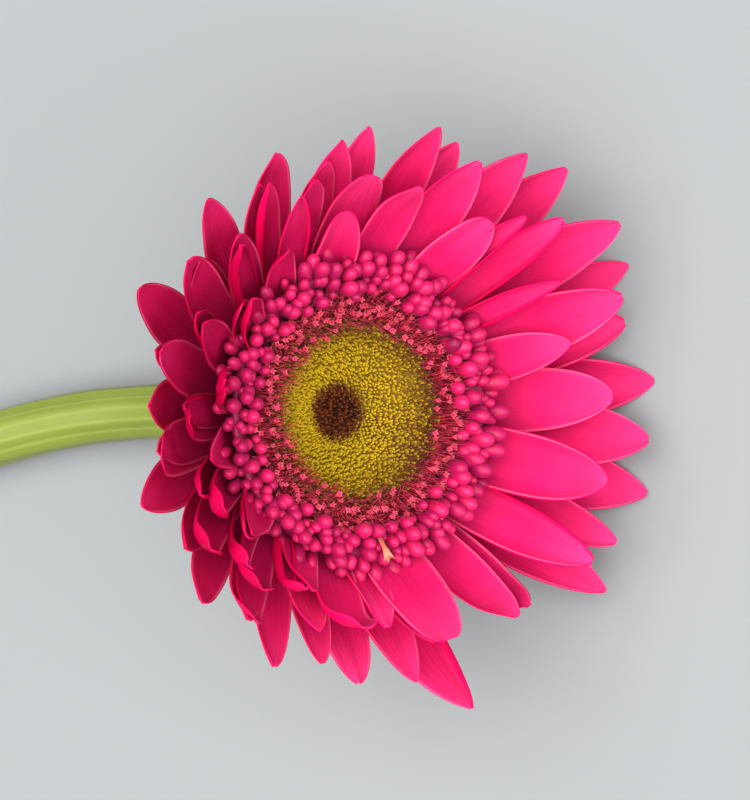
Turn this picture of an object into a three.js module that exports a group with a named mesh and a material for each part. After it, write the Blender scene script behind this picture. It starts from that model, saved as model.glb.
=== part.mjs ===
// A cut gerbera, laid on its side on a flat surface.
//
// Millimetres, +Z up. The stem runs along the surface towards -X and curves up
// into the flower head, whose face looks up and towards +X. The head rests on the
// tips of its lowest petals. The origin is on the surface, under the middle of the
// flower's bounding box.
//
// The head has its own frame: its centre is where the petals spring from, z points
// out of the flower's face, x points away from the stem and y is the world's Y.
// Turns around the head are measured from x towards y.

import * as THREE from 'three';

// ---------------------------------------------------------------- driving sizes

const faceTilt = 50;            // degrees between the face's axis and straight up
const touchGap = 0.3;           // left between pieces that touch on the real flower

const stemLength = 360;         // along its curve
const neckRadius = 5.0;         // at the flower head
const cutRadius = 5.8;          // at the cut end
const swayAngle = 17;           // degrees that the lying stem heads off to one side
const swayStart = 26;           // of stem before it turns aside
const swayLength = 85;          // of stem before it has turned so far
const swayBack = 22;            // degrees that it comes back along the rest

const neckDepth = 14;           // from the head's centre down to the top of the stem
const receptacleRadius = 10.8;  // where the petals spring from
const involucreWall = 1.6;      // thickness of the green cup of bracts
const involucreTop = -6.2;      // level of the cup's rim

const heartRadius = 4.6;        // of the dark centre
const heartFloor = 2.4;         // level that the whole disc stands on
const heartTop = 5.0;
const bowlRadius = 16.8;        // outer edge of the yellow bowl
const bowlDepth = 4.2;          // of the florets at that edge, above the petals behind
const fringeWidth = 3.4;        // of the ragged fringe around the bowl
const fringeRise = 1.8;         // of the fringe above the bowl's rim
const budWidth = 6.6;           // of the ring of bud florets around the fringe
const budDepth = 2.2;           // from the ring's lower edge to its top
const budRound = 0.8;           // rounding of that edge

const longestPetal = 55;        // from foot to tip, along its curve
const widestPetal = 12;
const petalThickness = 0.9;
const petalWidest = 0.62;       // how far along a petal its widest place is
const petalClaw = 0.30;         // width of the narrow foot, as a share of the widest
const petalChannel = 0.14;      // depth of its trough, as a share of its width
const stemSideRise = 16;        // further rise in degrees of the tips nearest the stem
const alternateRise = 2.5;      // further rise in degrees of every second petal
const alternateLevel = 0.45;    // how much higher every second petal springs

// Each ring of petals, from the back of the flower to the front: the level it
// springs from, its rise in degrees at the foot and at the tip, and its petals as
// [turn in degrees, share of the longest length, share of the widest width, further
// rise in degrees, roll in degrees].
const petalRings = [
  {
    name: 'outer_petal', root: -4.4, riseFoot: 9, riseTip: 37,
    petals: [
      [26, 1.00, 0.92, -2, 4], [48, 0.98, 1.00, 0, -4], [69, 0.83, 0.83, 0, 3],
      [91, 0.80, 0.75, 0, -3], [113, 0.78, 0.67, 0, 4], [131, 0.78, 0.67, 0, -5],
      [155, 0.78, 0.75, 0, 4], [178, 0.69, 0.75, 0, 0], [200, 0.73, 0.75, 0, -4],
      [222, 0.78, 0.75, 0, 5], [247, 0.75, 0.67, 0, -4], [268, 0.75, 0.83, 0, 4],
      [291, 0.93, 1.00, 0, 0], [326, 0.96, 0.83, 0, 0], [345, 0.99, 1.00, 5, 0],
      [5, 0.98, 1.00, 2, 0],
    ],
  },
  {
    name: 'second_petal', root: -2.9, riseFoot: 15.5, riseTip: 42,
    petals: [
      [17, 0.89, 0.92, 0, 3], [37, 1.00, 0.92, 0, -4], [58, 0.91, 0.92, 0, 3],
      [80, 0.88, 0.83, 0, -4], [100, 0.80, 0.83, 0, 4], [122, 0.78, 0.58, 0, -6],
      [146, 0.78, 0.75, 0, 5], [168, 0.78, 0.75, 0, -3], [190, 0.76, 0.75, 0, 5],
      [212, 0.78, 0.75, 0, -5], [233, 0.78, 0.75, 0, 4], [309, 0.80, 0.83, 0, -4],
      [334, 0.91, 0.83, 0, 3], [355, 0.93, 1.00, 0, 0],
    ],
  },
  {
    name: 'third_petal', root: -1.4, riseFoot: 22, riseTip: 46,
    petals: [
      [3, 0.80, 0.92, 0, 0], [24, 0.88, 0.92, 0, -3], [44, 0.84, 0.83, 0, 4],
      [71, 0.83, 0.92, 0, 2], [95, 0.70, 0.92, 0, -3], [115, 0.71, 0.67, 0, 6],
      [136, 0.73, 0.67, 0, -6], [159, 0.71, 0.67, 0, 5], [182, 0.71, 0.67, 0, -5],
      [205, 0.73, 0.67, 0, 5], [229, 0.75, 0.75, 0, -5], [258, 0.73, 0.92, 0, 3],
      [304, 0.78, 0.83, 0, 0], [327, 0.84, 0.92, 0, 0],
    ],
  },
  {
    name: 'inner_petal', root: 0.1, riseFoot: 28, riseTip: 49,
    petals: [
      [17, 0.67, 0.67, 0, 4], [60, 0.67, 0.75, 0, -5], [101, 0.58, 0.75, 0, 4],
      [147, 0.64, 0.67, 0, -4], [172, 0.58, 0.58, 0, 5], [217, 0.60, 0.67, 0, -5],
      [243, 0.60, 0.67, 0, 4], [284, 0.72, 0.92, 0, 0], [344, 0.80, 1.00, 0, 0],
    ],
  },
];

// --------------------------------------------------------------------- materials

const finish = (color, roughness) =>
  new THREE.MeshStandardMaterial({ color, roughness, metalness: 0 });

const petalPink = finish(0xf01c6e, 0.55);
const budPink = finish(0xd3195d, 0.5);
const fringeRed = finish(0xa82844, 0.65);
const bowlYellow = finish(0xa79414, 0.7);
const heartBrown = finish(0x47200a, 0.85);
const stemGreen = finish(0xb2c651, 0.55);
const bractGreen = finish(0x86a344, 0.65);

// ----------------------------------------------------------------------- helpers

const degrees = THREE.MathUtils.degToRad;
const lerp = THREE.MathUtils.lerp;
const smoothstep = THREE.MathUtils.smoothstep;

function namedMesh(name, geometry, material) {
  const mesh = new THREE.Mesh(geometry, material);
  mesh.name = name;
  return mesh;
}

// Moves every corner of a geometry to where the given function puts it.
function reshape(geometry, place) {
  const corners = geometry.attributes.position;
  const corner = new THREE.Vector3();
  for (let i = 0; i < corners.count; i += 1) {
    corner.fromBufferAttribute(corners, i);
    const moved = place(corner);
    corners.setXYZ(i, moved.x, moved.y, moved.z);
  }
  geometry.computeVertexNormals();
  return geometry;
}

// A solid of revolution around the head's axis, from [radius, level] points.
function turned(profile, segments) {
  const points = profile.map(([radius, level]) => new THREE.Vector2(radius, level));
  return new THREE.LatheGeometry(points, segments).rotateX(Math.PI / 2);
}

// -------------------------------------------------------------------- the petals

// Half a petal's width at a share of its length, as a share of its widest half.
function petalOutline(along) {
  if (along < petalWidest) {
    const opening = Math.sin((along / petalWidest) * (Math.PI / 2)) ** 1.3;
    const footRound = smoothstep(along, 0, 0.06);
    return footRound * lerp(petalClaw, 1, opening);
  }
  const pastWidest = (along - petalWidest) / (1 - petalWidest);
  return Math.max(0, 1 - pastWidest ** 2.3) ** 0.62;
}

// Where a petal springs from and how steeply it rises. Every second petal of a ring
// stands a little above its neighbours, and all stand steeper towards the stem.
function petalStance(ring, index) {
  const [turn, , , furtherRise] = ring.petals[index];
  const stemSide = stemSideRise * (1 - Math.cos(degrees(turn))) / 2;
  const alternate = index % 2;
  return {
    level: ring.root + alternate * alternateLevel,
    footRise: ring.riseFoot + alternate * alternateRise,
    tipRise: ring.riseTip + alternate * alternateRise + stemSide + furtherRise,
  };
}

// A point of a petal's middle line, as radius from the axis, level and rise there.
function petalLine(stance, length, along) {
  const riseAt = (share) => degrees(lerp(stance.footRise, stance.tipRise, share));
  const steps = 24;
  const stepLength = length * along / steps;
  let radius = receptacleRadius + touchGap;
  let level = stance.level;
  for (let i = 0; i < steps; i += 1) {
    const rise = riseAt(((i + 0.5) / steps) * along);
    radius += stepLength * Math.cos(rise);
    level += stepLength * Math.sin(rise);
  }
  return { radius, level, rise: riseAt(along) };
}

// A ball drawn out into a petal: its poles are the petal's foot and tip, its
// equator the petal's rim, and its depth the petal's thickness.
function petalGeometry(ring, index) {
  const [turn, lengthShare, widthShare, , roll] = ring.petals[index];
  const length = lengthShare * longestPetal;
  const width = widthShare * widestPetal;
  const stance = petalStance(ring, index);
  const ball = new THREE.SphereGeometry(1, 8, 10);
  reshape(ball, (corner) => {
    const fromFoot = Math.acos(THREE.MathUtils.clamp(-corner.y, -1, 1)) / Math.PI;
    const along = lerp(fromFoot, (1 + corner.y) / 2, 0.5);
    const girth = Math.hypot(corner.x, corner.z) || 1;
    const across = corner.x / girth;
    const through = corner.z / girth;
    const { radius, level, rise } = petalLine(stance, length, along);
    const outline = petalOutline(along);
    const sideways = across * outline * width / 2;
    const trough = petalChannel * width * outline * across ** 2;
    const depth = through * petalThickness / 2 * Math.min(1, outline * 1.6);
    const tilt = degrees(roll) * smoothstep(along, 0.1, 0.7);
    const out = trough + depth;
    const side = sideways * Math.cos(tilt) - out * Math.sin(tilt);
    const lift = sideways * Math.sin(tilt) + out * Math.cos(tilt);
    return new THREE.Vector3(
      radius - lift * Math.sin(rise),
      -side,
      level + lift * Math.cos(rise),
    );
  });
  return ball.rotateZ(degrees(turn));
}

function addPetals(head) {
  for (const ring of petalRings) {
    ring.petals.forEach((_, i) => {
      const number = String(i + 1).padStart(2, '0');
      head.add(namedMesh(`${ring.name}_${number}`, petalGeometry(ring, i), petalPink));
    });
  }
}

// ---------------------------------------------------------------------- the disc

// The highest level that a petal of the inner ring reaches at a radius, at its rim.
function petalTopLevel(radius) {
  const ring = petalRings.at(-1);
  const steps = 40;
  const levels = ring.petals.map(([, lengthShare, widthShare], index) => {
    const length = lengthShare * longestPetal;
    const stance = petalStance(ring, index);
    let place = { radius: 0, level: 0 };
    for (let i = 0; i <= steps && place.radius < radius; i += 1) {
      place = petalLine(stance, length, i / steps);
    }
    return place.level + petalChannel * widthShare * widestPetal;
  });
  return Math.max(...levels) + petalThickness / 2;
}

function addDisc(head) {
  const segments = 32;
  // The florets stand side by side on the receptacle: the three outer rings share
  // its width around the heart, and lean outwards from there.
  const seatRadius = receptacleRadius - 2 * touchGap;
  const footStep = (seatRadius - heartRadius) / 3;
  const bowlFoot = heartRadius + footStep;
  const fringeFoot = bowlFoot + footStep;

  // The whole disc rests on a cone that just clears the front petals.
  const fringeRadius = bowlRadius + fringeWidth;
  const budRadius = fringeRadius + budWidth;
  const skirtRadius = budRadius - budRound;
  const budSkirt = petalTopLevel(budRadius) + touchGap;
  const budTop = budSkirt + budDepth;
  const coneRise = (budSkirt - heartFloor) / (skirtRadius - seatRadius);
  const bowlRim = heartFloor + coneRise * (bowlRadius - seatRadius) + bowlDepth;
  const fringeTop = bowlRim + fringeRise;

  const heart = [
    [0, heartFloor],
    [heartRadius, heartFloor],
    [heartRadius, heartTop - 0.8],
    [heartRadius * 0.7, heartTop],
    [0, heartTop + 0.4],
  ];
  head.add(namedMesh('disc_heart', turned(heart, segments), heartBrown));

  const bowlInner = heartRadius + touchGap;
  const bowlCurve = [0.75, 0.5, 0.25].map((share) => {
    return [lerp(bowlInner, bowlRadius, share), lerp(heartTop, bowlRim, share ** 1.15)];
  });
  const bowl = [
    [bowlInner, heartFloor],
    [bowlFoot, heartFloor],
    [bowlRadius, bowlRim - 0.8],
    [bowlRadius, bowlRim],
    ...bowlCurve,
    [bowlInner, heartTop],
    [bowlInner, heartFloor],
  ];
  head.add(namedMesh('disc_florets', turned(bowl, segments), bowlYellow));

  const fringeInner = bowlRadius + touchGap;
  const fringe = [
    [bowlFoot + 2 * touchGap, heartFloor],
    [fringeFoot, heartFloor],
    [fringeRadius, fringeTop - 1.4],
    [fringeRadius, fringeTop],
    [fringeInner, fringeTop - 0.6],
    [fringeInner, bowlRim - 0.8 - touchGap],
    [bowlFoot + 2 * touchGap, heartFloor],
  ];
  head.add(namedMesh('disc_fringe', turned(fringe, segments), fringeRed));

  const budInner = fringeRadius + touchGap;
  const buds = [
    [fringeFoot + 2 * touchGap, heartFloor],
    [seatRadius, heartFloor],
    [skirtRadius, budSkirt],
    [budRadius, budSkirt + budRound],
    [budRadius - 1.2, budTop - 0.3],
    [(budInner + budRadius) / 2, budTop],
    [budInner, fringeTop + 0.6],
    [budInner, fringeTop - 1.4 - touchGap],
    [fringeFoot + 2 * touchGap, heartFloor],
  ];
  head.add(namedMesh('bud_florets', turned(buds, segments), budPink));
}

// ----------------------------------------------------------- stem and involucre

// The stem swells at its top into the receptacle, the head that every floret springs
// from. Its outline there, from its top to the neck, as [level, radius].
const receptacleOutline = [
  [heartFloor - touchGap, receptacleRadius - 1],
  [heartFloor - touchGap - 1, receptacleRadius],
  [involucreTop + 1, receptacleRadius],
  [involucreTop - 1.4, receptacleRadius - 0.6],
  [involucreTop - 3.6, receptacleRadius - 2],
  [-neckDepth + 2.6, neckRadius + 2],
];

// A cup of small green bracts wraps the receptacle from below.
function addInvolucre(head) {
  const inner = receptacleOutline
    .filter(([level]) => level < involucreTop)
    .map(([level, radius]) => [radius + touchGap, level]);
  inner.unshift([receptacleRadius + touchGap, involucreTop]);
  inner.push([neckRadius + 1.5 * touchGap, -neckDepth + touchGap]);
  const outer = inner.map(([radius, level]) => [radius + involucreWall, level - touchGap]);
  outer[0] = [receptacleRadius + involucreWall, involucreTop];
  outer[outer.length - 1] = [neckRadius + involucreWall, -neckDepth];
  const cup = [...outer.reverse(), ...inner, outer[0]];
  head.add(namedMesh('involucre', turned(cup, 24), bractGreen));
}

// Where the stem heads at a length below the neck, with its sideways and upward
// directions. The neck dives from the head to the surface along an arc, and then the
// stem lies with its underside level, swaying a little to one side.
function stemHeading(length, neckHeight) {
  const dive = degrees(90 - faceTilt);
  const taper = Math.atan((cutRadius - neckRadius) / stemLength);
  const arcRadius = (neckHeight - neckRadius) / (1 - Math.cos(dive));
  const pitch = lerp(dive, -taper, Math.min(1, length / (arcRadius * dive)));
  const away = swayAngle * smoothstep(length, swayStart, swayLength);
  const back = swayBack * smoothstep(length, swayLength, stemLength);
  const yaw = degrees(away - back);
  const side = new THREE.Vector3(Math.sin(yaw), -Math.cos(yaw), 0);
  const heading = new THREE.Vector3(
    -Math.cos(pitch) * Math.cos(yaw),
    -Math.cos(pitch) * Math.sin(yaw),
    -Math.sin(pitch),
  );
  return { heading, side, over: new THREE.Vector3().crossVectors(heading, side) };
}

// The stem's cross-sections, from the top of the receptacle to the cut end.
function stemSections(neckHeight) {
  const start = stemHeading(0, neckHeight);
  const sections = receptacleOutline.map(([level, radius]) => ({
    ...start,
    radius,
    point: start.heading.clone().multiplyScalar(-level),
  }));
  const count = 44;
  const fineSteps = 8;
  const stepLength = stemLength / count;
  const point = start.heading.clone().multiplyScalar(neckDepth);
  for (let i = 0; i <= count; i += 1) {
    const radius = lerp(neckRadius, cutRadius, i / count);
    const here = stemHeading(i * stepLength, neckHeight);
    sections.push({ ...here, radius, point: point.clone() });
    for (let j = 0; j < fineSteps; j += 1) {
      const length = (i + (j + 0.5) / fineSteps) * stepLength;
      point.addScaledVector(stemHeading(length, neckHeight).heading, stepLength / fineSteps);
    }
  }
  return sections;
}

// A straight rod whose rings of corners are moved to the stem's cross-sections.
function stemGeometry(neckHeight) {
  const sections = stemSections(neckHeight);
  const spans = sections.length - 1;
  const rod = new THREE.CylinderGeometry(1, 1, 1, 16, spans);
  return reshape(rod, (corner) => {
    const { point, side, over, radius } = sections[Math.round((0.5 - corner.y) * spans)];
    return point.clone()
      .addScaledVector(side, corner.x * radius)
      .addScaledVector(over, corner.z * radius);
  });
}

// ------------------------------------------------------------------ the assembly

const flower = new THREE.Group();

const head = new THREE.Group();
head.rotation.y = degrees(faceTilt);
addInvolucre(head);
addDisc(head);
addPetals(head);
flower.add(head);

// The head rests on its lowest petals, and the stem's neck comes down from it to
// lie on the same surface.
const headBox = new THREE.Box3().setFromObject(head, true);
const neckHeight = -headBox.min.z - neckDepth * Math.cos(degrees(faceTilt));
flower.add(namedMesh('stem', stemGeometry(neckHeight), stemGreen));

// The origin is on the surface, under the middle of the whole flower's box.
const box = new THREE.Box3().setFromObject(flower, true);
const middle = box.getCenter(new THREE.Vector3());
flower.position.set(-middle.x, -middle.y, -box.min.z);

export default flower;
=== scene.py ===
# %% [markdown]
# # A cut gerbera, lying down
# A double gerbera in hot pink, cut with a long bare stem and laid on a pale surface.
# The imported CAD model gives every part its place, so it is loaded first and never
# moved. Each plain CAD solid is then replaced by a piece grown in the same place.

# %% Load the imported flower
import math
import random

import bmesh
import bpy
from mathutils import Matrix, Vector, noise


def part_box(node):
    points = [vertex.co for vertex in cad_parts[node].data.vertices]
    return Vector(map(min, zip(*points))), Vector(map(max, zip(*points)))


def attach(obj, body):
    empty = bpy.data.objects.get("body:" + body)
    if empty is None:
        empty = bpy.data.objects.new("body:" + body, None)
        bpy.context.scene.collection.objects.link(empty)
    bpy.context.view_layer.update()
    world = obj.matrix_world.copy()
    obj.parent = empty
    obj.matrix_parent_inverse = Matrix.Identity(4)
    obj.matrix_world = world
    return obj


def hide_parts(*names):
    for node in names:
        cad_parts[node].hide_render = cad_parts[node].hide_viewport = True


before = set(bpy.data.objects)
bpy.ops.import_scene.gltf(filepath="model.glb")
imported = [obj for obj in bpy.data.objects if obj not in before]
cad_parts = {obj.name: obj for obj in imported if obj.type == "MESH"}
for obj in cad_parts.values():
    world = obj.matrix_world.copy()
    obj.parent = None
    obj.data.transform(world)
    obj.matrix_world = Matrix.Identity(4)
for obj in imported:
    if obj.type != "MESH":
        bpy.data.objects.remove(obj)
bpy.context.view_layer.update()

MM = 0.001
print("CAD nodes:", len(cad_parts))

# %% [markdown]
# ## Where the flower head is
# The head leans on its lowest petals, so its face looks up and away from the stem.
# Every petal and floret is easier to shape in the head's own directions: away from
# the stem, sideways, and out of the face. The florets' rings are round, so the middle
# of their reach along each direction is on the head's axis. The heart's foot then
# tells how high the centre is along that axis.

# %% The head's centre and directions
face_tilt = math.radians(50)
out_of_face = Vector((math.sin(face_tilt), 0, math.cos(face_tilt)))
from_stem = Vector((math.cos(face_tilt), 0, -math.sin(face_tilt)))
sideways = Vector((0, 1, 0))


def reach(node, direction):
    """The lowest and highest place of a CAD node along a direction, in millimetres."""
    places = [v.co.dot(direction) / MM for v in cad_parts[node].data.vertices]
    return min(places), max(places)


heart_floor = 2.4
centre = from_stem * sum(reach("bud_florets", from_stem)) / 2
centre += sideways * sum(reach("bud_florets", sideways)) / 2
centre += out_of_face * (reach("disc_heart", out_of_face)[0] - heart_floor)
centre *= MM

head_turn = Matrix((from_stem, sideways, out_of_face)).transposed().to_4x4()
head_place = Matrix.Translation(centre) @ head_turn @ Matrix.Scale(MM, 4)
print("head centre, mm:", [round(x / MM, 2) for x in centre])

# %% [markdown]
# ## The camera
# It looks down on the flower, leaning a little so that it sees more of the face than
# of the stem. A long lens from close by keeps the petals from looking stretched. It
# is made first, because every later choice is judged through it.

# %% Set up the camera
camera_lean = math.radians(20)
to_camera = Vector((math.sin(camera_lean), 0, math.cos(camera_lean)))
camera_right = Vector((math.cos(camera_lean), 0, -math.sin(camera_lean)))
camera_distance = 0.45
beside_centre = 9.3 * MM
above_centre = 2.1 * MM

camera_data = bpy.data.cameras.new("studio_camera")
camera_data.lens = 113.4
camera_data.sensor_width = 36
camera_data.clip_start = 0.01
camera = bpy.data.objects.new("studio_camera", camera_data)
aim = centre + camera_right * beside_centre + sideways * above_centre
camera_turn = Matrix((camera_right, sideways, to_camera)).transposed().to_4x4()
camera.matrix_world = Matrix.Translation(aim + to_camera * camera_distance) @ camera_turn
bpy.context.scene.collection.objects.link(camera)
bpy.context.scene.camera = camera
print("camera at, m:", [round(x, 3) for x in camera.matrix_world.translation])

# %% [markdown]
# ## Tools for the finishes
# A finish is a small network of nodes. Two helpers keep it readable: one adds a node
# with its options and inputs, and one mixes two colours. Colours are written in the
# usual six-digit way and changed to the linear values that the renderer works in.

# %% Helpers for nodes and colours


def colour(digits):
    """A six-digit colour as the renderer's linear red, green, blue and alpha."""
    shares = [int(digits[i:i + 2], 16) / 255 for i in (0, 2, 4)]
    linear = [s / 12.92 if s < 0.04045 else ((s + 0.055) / 1.055) ** 2.4 for s in shares]
    return (*linear, 1.0)


def add(tree, kind, inputs=None, **options):
    """Adds a node. An input is a plain value, or another node's output to link."""
    made = tree.nodes.new("ShaderNode" + kind)
    for option, value in options.items():
        setattr(made, option, value)
    for socket, value in (inputs or {}).items():
        if isinstance(value, bpy.types.NodeSocket):
            tree.links.new(value, made.inputs[socket])
        else:
            made.inputs[socket].default_value = value
    return made


def mix(tree, share, first, second):
    """Mixes two colours by a share, and gives the mixed colour's output."""
    made = add(tree, "Mix", {0: share, 6: first, 7: second}, data_type="RGBA")
    return made.outputs[2]


def sums(tree, operation, *values):
    """One step of arithmetic on numbers or outputs."""
    made = add(tree, "Math", dict(enumerate(values)), operation=operation)
    return made.outputs[0]


def between(tree, value, low, high):
    """0 below low, 1 above high, and a smooth change between them."""
    made = add(
        tree, "MapRange", {"Value": value, "From Min": low, "From Max": high},
        interpolation_type="SMOOTHSTEP",
    )
    return made.outputs[0]


def read(tree, name):
    """A number that a piece carries at its points."""
    return add(tree, "Attribute", attribute_name=name).outputs["Fac"]


def new_finish(name, **values):
    """A material with its shader's plain values set, and its tree and shader."""
    material = bpy.data.materials.new(name)
    material.use_nodes = True
    shader = material.node_tree.nodes["Principled BSDF"]
    for socket, value in values.items():
        shader.inputs[socket.replace("_", " ")].default_value = value
    return material, material.node_tree, shader


# %% [markdown]
# ## Uneven growth
# No petal or stem has one even colour. Pigment gathers in soft patches, with a finer
# speckle over them. All of the flower's finishes share that, so it is a node group
# with its own inputs, and each finish sets how strong and how large the patches are.

# %% The uneven growth group


def new_group(name, inputs, outputs):
    """A node group with its named inputs and outputs, and its two end nodes."""
    group = bpy.data.node_groups.new(name, "ShaderNodeTree")
    for label, kind, value in inputs:
        socket = group.interface.new_socket(label, in_out="INPUT", socket_type=kind)
        socket.default_value = value
    for label, kind in outputs:
        group.interface.new_socket(label, in_out="OUTPUT", socket_type=kind)
    start = group.nodes.new("NodeGroupInput")
    end = group.nodes.new("NodeGroupOutput")
    return group, start.outputs, end.inputs


growth, given, result = new_group(
    "uneven_growth",
    [
        ("Colour", "NodeSocketColor", (0.8, 0.8, 0.8, 1)),
        ("Depth", "NodeSocketFloat", 0.3),
        ("Patches per Metre", "NodeSocketFloat", 90.0),
    ],
    [("Colour", "NodeSocketColor")],
)
here = add(growth, "TexCoord").outputs["Object"]
scale = given["Patches per Metre"]
patches = add(growth, "TexNoise", {"Vector": here, "Scale": scale, "Detail": 3.0})
fine_scale = sums(growth, "MULTIPLY", scale, 14.0)
speckle = add(growth, "TexNoise", {"Vector": here, "Scale": fine_scale, "Detail": 2.0})
patch = between(growth, patches.outputs["Fac"], 0.3, 0.7)
patch_share = sums(growth, "MULTIPLY", patch, 0.65)
both = sums(growth, "MULTIPLY_ADD", speckle.outputs["Fac"], 0.35, patch_share)
darker = sums(growth, "SUBTRACT", 1.0, sums(growth, "MULTIPLY", given["Depth"], both))
shaded = add(growth, "VectorMath", {0: given["Colour"]}, operation="SCALE")
growth.links.new(darker, shaded.inputs["Scale"])
growth.links.new(shaded.outputs[0], result["Colour"])
print("group made:", growth.name)


def uneven(tree, flat_colour, depth, per_metre):
    """Places the uneven growth group and gives its colour."""
    made = tree.nodes.new("ShaderNodeGroup")
    made.node_tree = growth
    tree.links.new(flat_colour, made.inputs["Colour"])
    made.inputs["Depth"].default_value = depth
    made.inputs["Patches per Metre"].default_value = per_metre
    return made.outputs["Colour"]


# %% [markdown]
# ## Lengthwise veins
# Petals, bracts and the stem all have fine veins that run from foot to tip. Each of
# those pieces carries a map of its own: how far along, and how far across. The veins
# are drawn on that map, so they follow every bend of the piece.

# %% The lengthwise veins group
GROWTH_MAP = "growth_map"

veins, given, result = new_group(
    "lengthwise_veins",
    [("Veins", "NodeSocketFloat", 12.0), ("Wander", "NodeSocketFloat", 0.03)],
    [("Vein", "NodeSocketFloat"), ("Along", "NodeSocketFloat"), ("From Middle", "NodeSocketFloat")],
)
growth_map = add(veins, "UVMap", uv_map=GROWTH_MAP)
split = add(veins, "SeparateXYZ", {"Vector": growth_map.outputs["UV"]})
along, across = split.outputs["X"], split.outputs["Y"]
stretched = add(
    veins, "VectorMath", {0: growth_map.outputs["UV"], 1: (3.0, 9.0, 1.0)},
    operation="MULTIPLY",
)
drift = add(veins, "TexNoise", {"Vector": stretched.outputs[0], "Scale": 1.0, "Detail": 1.0})
drifted = sums(veins, "MULTIPLY_ADD", drift.outputs["Fac"], given["Wander"], across)
turns = sums(veins, "MULTIPLY", drifted, given["Veins"])
wave = sums(veins, "COSINE", sums(veins, "MULTIPLY", turns, 2 * math.pi))
narrow = sums(veins, "POWER", sums(veins, "MULTIPLY_ADD", wave, 0.5, 0.5), 2.5)
middle_distance = sums(veins, "ABSOLUTE", sums(veins, "MULTIPLY_ADD", across, 2.0, -1.0))
veins.links.new(narrow, result["Vein"])
veins.links.new(along, result["Along"])
veins.links.new(middle_distance, result["From Middle"])
print("group made:", veins.name)


def place_veins(tree, count, wander):
    """Places the veins group and gives its outputs."""
    made = tree.nodes.new("ShaderNodeGroup")
    made.node_tree = veins
    made.inputs["Veins"].default_value = count
    made.inputs["Wander"].default_value = wander
    return made.outputs


# %% [markdown]
# ## The petals' finish
# A petal's upper side is a saturated hot pink, smooth and without gloss, deepest at
# the foot and faintly veined. The underside is duller, greenish at the foot and paler
# at its rim. Two materials do this: the petal's thin wall gives one to each side.

# %% Upper side of the petals


def ramp(tree, share, stops):
    """A colour that changes along a share, from (share, colour) stops."""
    made = add(tree, "ValToRGB", {"Fac": share})
    points = made.color_ramp.elements
    while len(points) < len(stops):
        points.new(0.5)
    for point, (place, digits) in zip(points, stops):
        point.position = place
        point.color = colour(digits)
    return made.outputs["Color"]


def petal_finish(name, stops, shade_colour, rim_colour, rim_share, bump, **values):
    """A petal's material: colour along it, a deeper tone from petal to petal that is partly chance
    and partly painted shade, veins and rim.
    """
    material, tree, shader = new_finish(name, **values)
    pattern = place_veins(tree, 7.0, 0.05)
    fine_pattern = place_veins(tree, 24.0, 0.09)
    base = ramp(tree, pattern["Along"], stops)
    # Deepens each petal by its tone: a chance tone of its own, plus painted shade on the stem's
    # side.
    base = mix(tree, read(tree, "tone_and_painted_shade"), base, colour(shade_colour))
    fine_share = sums(tree, "MULTIPLY", fine_pattern["Vein"], 0.05)
    base = mix(tree, fine_share, base, colour(shade_colour))
    rim = sums(tree, "MULTIPLY", between(tree, pattern["From Middle"], 0.86, 1.0), rim_share)
    base = mix(tree, rim, base, colour(rim_colour))
    base = uneven(tree, base, 0.15, 110.0)
    tree.links.new(base, shader.inputs["Base Color"])
    height = sums(tree, "MULTIPLY_ADD", fine_pattern["Vein"], 0.4, pattern["Vein"])
    lumps = add(tree, "Bump", {"Height": height, "Strength": bump, "Distance": 0.0002})
    tree.links.new(lumps.outputs["Normal"], shader.inputs["Normal"])
    rough = sums(tree, "MULTIPLY_ADD", fine_pattern["Vein"], 0.1, 0.42)
    tree.links.new(rough, shader.inputs["Roughness"])
    return material


petal_upper = petal_finish(
    "petal_upper_side",
    [(0.0, "4c011a"), (0.2, "a0032f"), (0.45, "dc0646"), (0.8, "ee0a58"), (1.0, "f41864")],
    "8c0028", "f83a7c", 0.03, 0.09,
    Specular_IOR_Level=0.01,
)
petal_under = petal_finish(
    "petal_underside",
    [(0.0, "8a8a3c"), (0.12, "a01c48"), (0.6, "cc1656"), (1.0, "de3270")],
    "a80e44", "ee6a96", 0.4, 0.2,
    Specular_IOR_Level=0.02,
)
print("finishes:", petal_upper.name, petal_under.name)

# %% [markdown]
# ## The shape of one petal
# Seen flat, a petal opens from a narrow claw to its widest place and closes to a blunt
# tip. In the head it rises from the receptacle in an even curve, is cupped across, and
# may roll one edge over. A flat grid is the easiest start: every corner's place on the
# grid is a share along and across, and moving the corners by those shares draws the
# petal out, with its map already on it.

# %% A petal's outline and middle line
receptacle_radius, touch_gap = 10.8, 0.3
longest_petal, widest_petal = 55, 12
fuller = 1.08
widest_at, claw_share = 0.62, 0.38
stem_side_rise, alternate_rise, alternate_level = 16, 2.5, 0.45


def smooth(value, low, high):
    """0 below low, 1 above high, and a smooth change between them."""
    share = min(1.0, max(0.0, (value - low) / (high - low)))
    return share * share * (3 - 2 * share)


def petal_outline(along, bluntness):
    """Half a petal's width at a share of its length, as a share of its widest half."""
    if along < widest_at:
        opening = math.sin(along / widest_at * math.pi / 2)
        return claw_share + (1 - claw_share) * opening
    past_widest = (along - widest_at) / (1 - widest_at)
    return (1 - (0.985 * past_widest) ** 2.2) ** bluntness


def petal_line(foot_level, foot_rise, tip_rise, length, along):
    """Radius, level and rise of a petal's middle line at a share of its length."""
    bend = tip_rise - foot_rise
    rise = foot_rise + bend * along
    radius = length * (math.sin(rise) - math.sin(foot_rise)) / bend
    level = length * (math.cos(foot_rise) - math.cos(rise)) / bend
    return receptacle_radius + touch_gap + radius, foot_level + level, rise


# %% A petal's cross-section


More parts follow.
